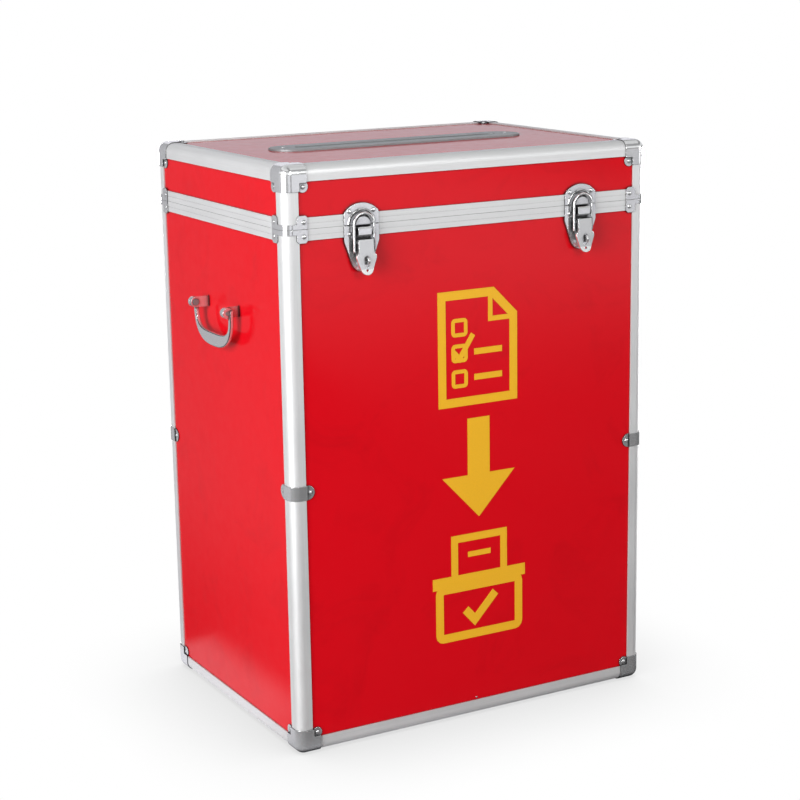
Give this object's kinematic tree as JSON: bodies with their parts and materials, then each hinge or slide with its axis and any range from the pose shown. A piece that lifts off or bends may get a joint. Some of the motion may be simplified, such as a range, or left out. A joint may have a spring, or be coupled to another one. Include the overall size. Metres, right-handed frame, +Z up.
{
  "type": "ballot box",
  "caption": "Tall ballot box of red board panels in aluminium edges, with a hinged lid, a posting slot, draw latches and drop handles.",
  "frame": {"origin": "on the floor, under the middle of the object's bounding box", "axes": "+Z up, -Y towards the front with the latches, +X to the right seen from the front"},
  "size_m": [0.4648, 0.3336, 0.6016],
  "materials": {
    "red_board": "board with a glossy red face",
    "edge_aluminium": "brushed and clear anodised",
    "chrome_fittings": "bright plate on pressed steel",
    "bright_rivets": "bright domed rivets",
    "slot_steel": "satin, cut edges dark",
    "pin_steel": "plain drawn steel"
  },
  "bodies": {
    "case_body": {"front_panel": "red_board", "back_panel": "red_board", "left_panel": "red_board", "right_panel": "red_board", "bottom_panel": "red_board", "post_front_left": "edge_aluminium", "post_front_right": "edge_aluminium", "post_back_left": "edge_aluminium", "post_back_right": "edge_aluminium", "bottom_rail_front": "edge_aluminium", "bottom_rail_back": "edge_aluminium", "bottom_rail_left": "edge_aluminium", "bottom_rail_right": "edge_aluminium", "body_rim_front": "edge_aluminium", "body_rim_back": "edge_aluminium", "body_rim_left": "edge_aluminium", "body_rim_right": "edge_aluminium", "bottom_corners": "chrome_fittings", "mid_clips": "chrome_fittings", "body_rim_clips": "chrome_fittings", "body_rivets": "bright_rivets", "latch_base_left": "chrome_fittings", "latch_base_right": "chrome_fittings", "latch_pins": "pin_steel", "handle_plate_left": "chrome_fittings", "handle_plate_right": "chrome_fittings", "handle_pins": "pin_steel", "hinge_body_leaves": "chrome_fittings", "hinge_pins": "pin_steel"},
    "lid": {"lid_top_panel": "red_board", "lid_front_panel": "red_board", "lid_back_panel": "red_board", "lid_left_panel": "red_board", "lid_right_panel": "red_board", "lid_post_front_left": "edge_aluminium", "lid_post_front_right": "edge_aluminium", "lid_post_back_left": "edge_aluminium", "lid_post_back_right": "edge_aluminium", "top_rail_front": "edge_aluminium", "top_rail_back": "edge_aluminium", "top_rail_left": "edge_aluminium", "top_rail_right": "edge_aluminium", "lid_rim_front": "edge_aluminium", "lid_rim_back": "edge_aluminium", "lid_rim_left": "edge_aluminium", "lid_rim_right": "edge_aluminium", "top_corners": "chrome_fittings", "lid_rim_clips": "chrome_fittings", "lid_rivets": "bright_rivets", "slot_plate": "slot_steel", "latch_strike_left": "chrome_fittings", "latch_strike_right": "chrome_fittings", "hinge_lid_leaves": "chrome_fittings"},
    "lever_left": {"latch_lever_left": "chrome_fittings"},
    "lever_right": {"latch_lever_right": "chrome_fittings"},
    "loop_left": {"latch_loop_left": "chrome_fittings"},
    "loop_right": {"latch_loop_right": "chrome_fittings"},
    "bail_left": {"handle_bail_left": "chrome_fittings"},
    "bail_right": {"handle_bail_right": "chrome_fittings"}
  },
  "joints": [
    {"name": "lid_hinge", "type": "hinge", "parent": "case_body", "child": "lid", "pos_m": [0, 0.1638, 0.53815], "axis": [-1, 0, 0], "range_deg": [0, 105]},
    {"name": "lever_left", "type": "hinge", "parent": "case_body", "child": "lever_left", "pos_m": [-0.129, -0.1574, 0.5216], "axis": [-1, 0, 0], "range_deg": [0, 95]},
    {"name": "loop_left", "type": "hinge", "parent": "lever_left", "child": "loop_left", "pos_m": [-0.129, -0.157, 0.5126], "axis": [-1, 0, 0], "range_deg": [-110, 0]},
    {"name": "lever_right", "type": "hinge", "parent": "case_body", "child": "lever_right", "pos_m": [0.129, -0.1574, 0.5216], "axis": [-1, 0, 0], "range_deg": [0, 95]},
    {"name": "loop_right", "type": "hinge", "parent": "lever_right", "child": "loop_right", "pos_m": [0.129, -0.157, 0.5126], "axis": [-1, 0, 0], "range_deg": [-110, 0]},
    {"name": "bail_left", "type": "hinge", "parent": "case_body", "child": "bail_left", "pos_m": [-0.2268, -0.0008, 0.4435], "axis": [0, 1, 0], "range_deg": [0, 95]},
    {"name": "bail_right", "type": "hinge", "parent": "case_body", "child": "bail_right", "pos_m": [0.2268, -0.0008, 0.4435], "axis": [0, -1, 0], "range_deg": [0, 95]}
  ],
  "couplings": [
    {"joint": "loop_left", "follows": "lever_left", "ratio": -1.1},
    {"joint": "loop_right", "follows": "lever_right", "ratio": -1.1}
  ]
}
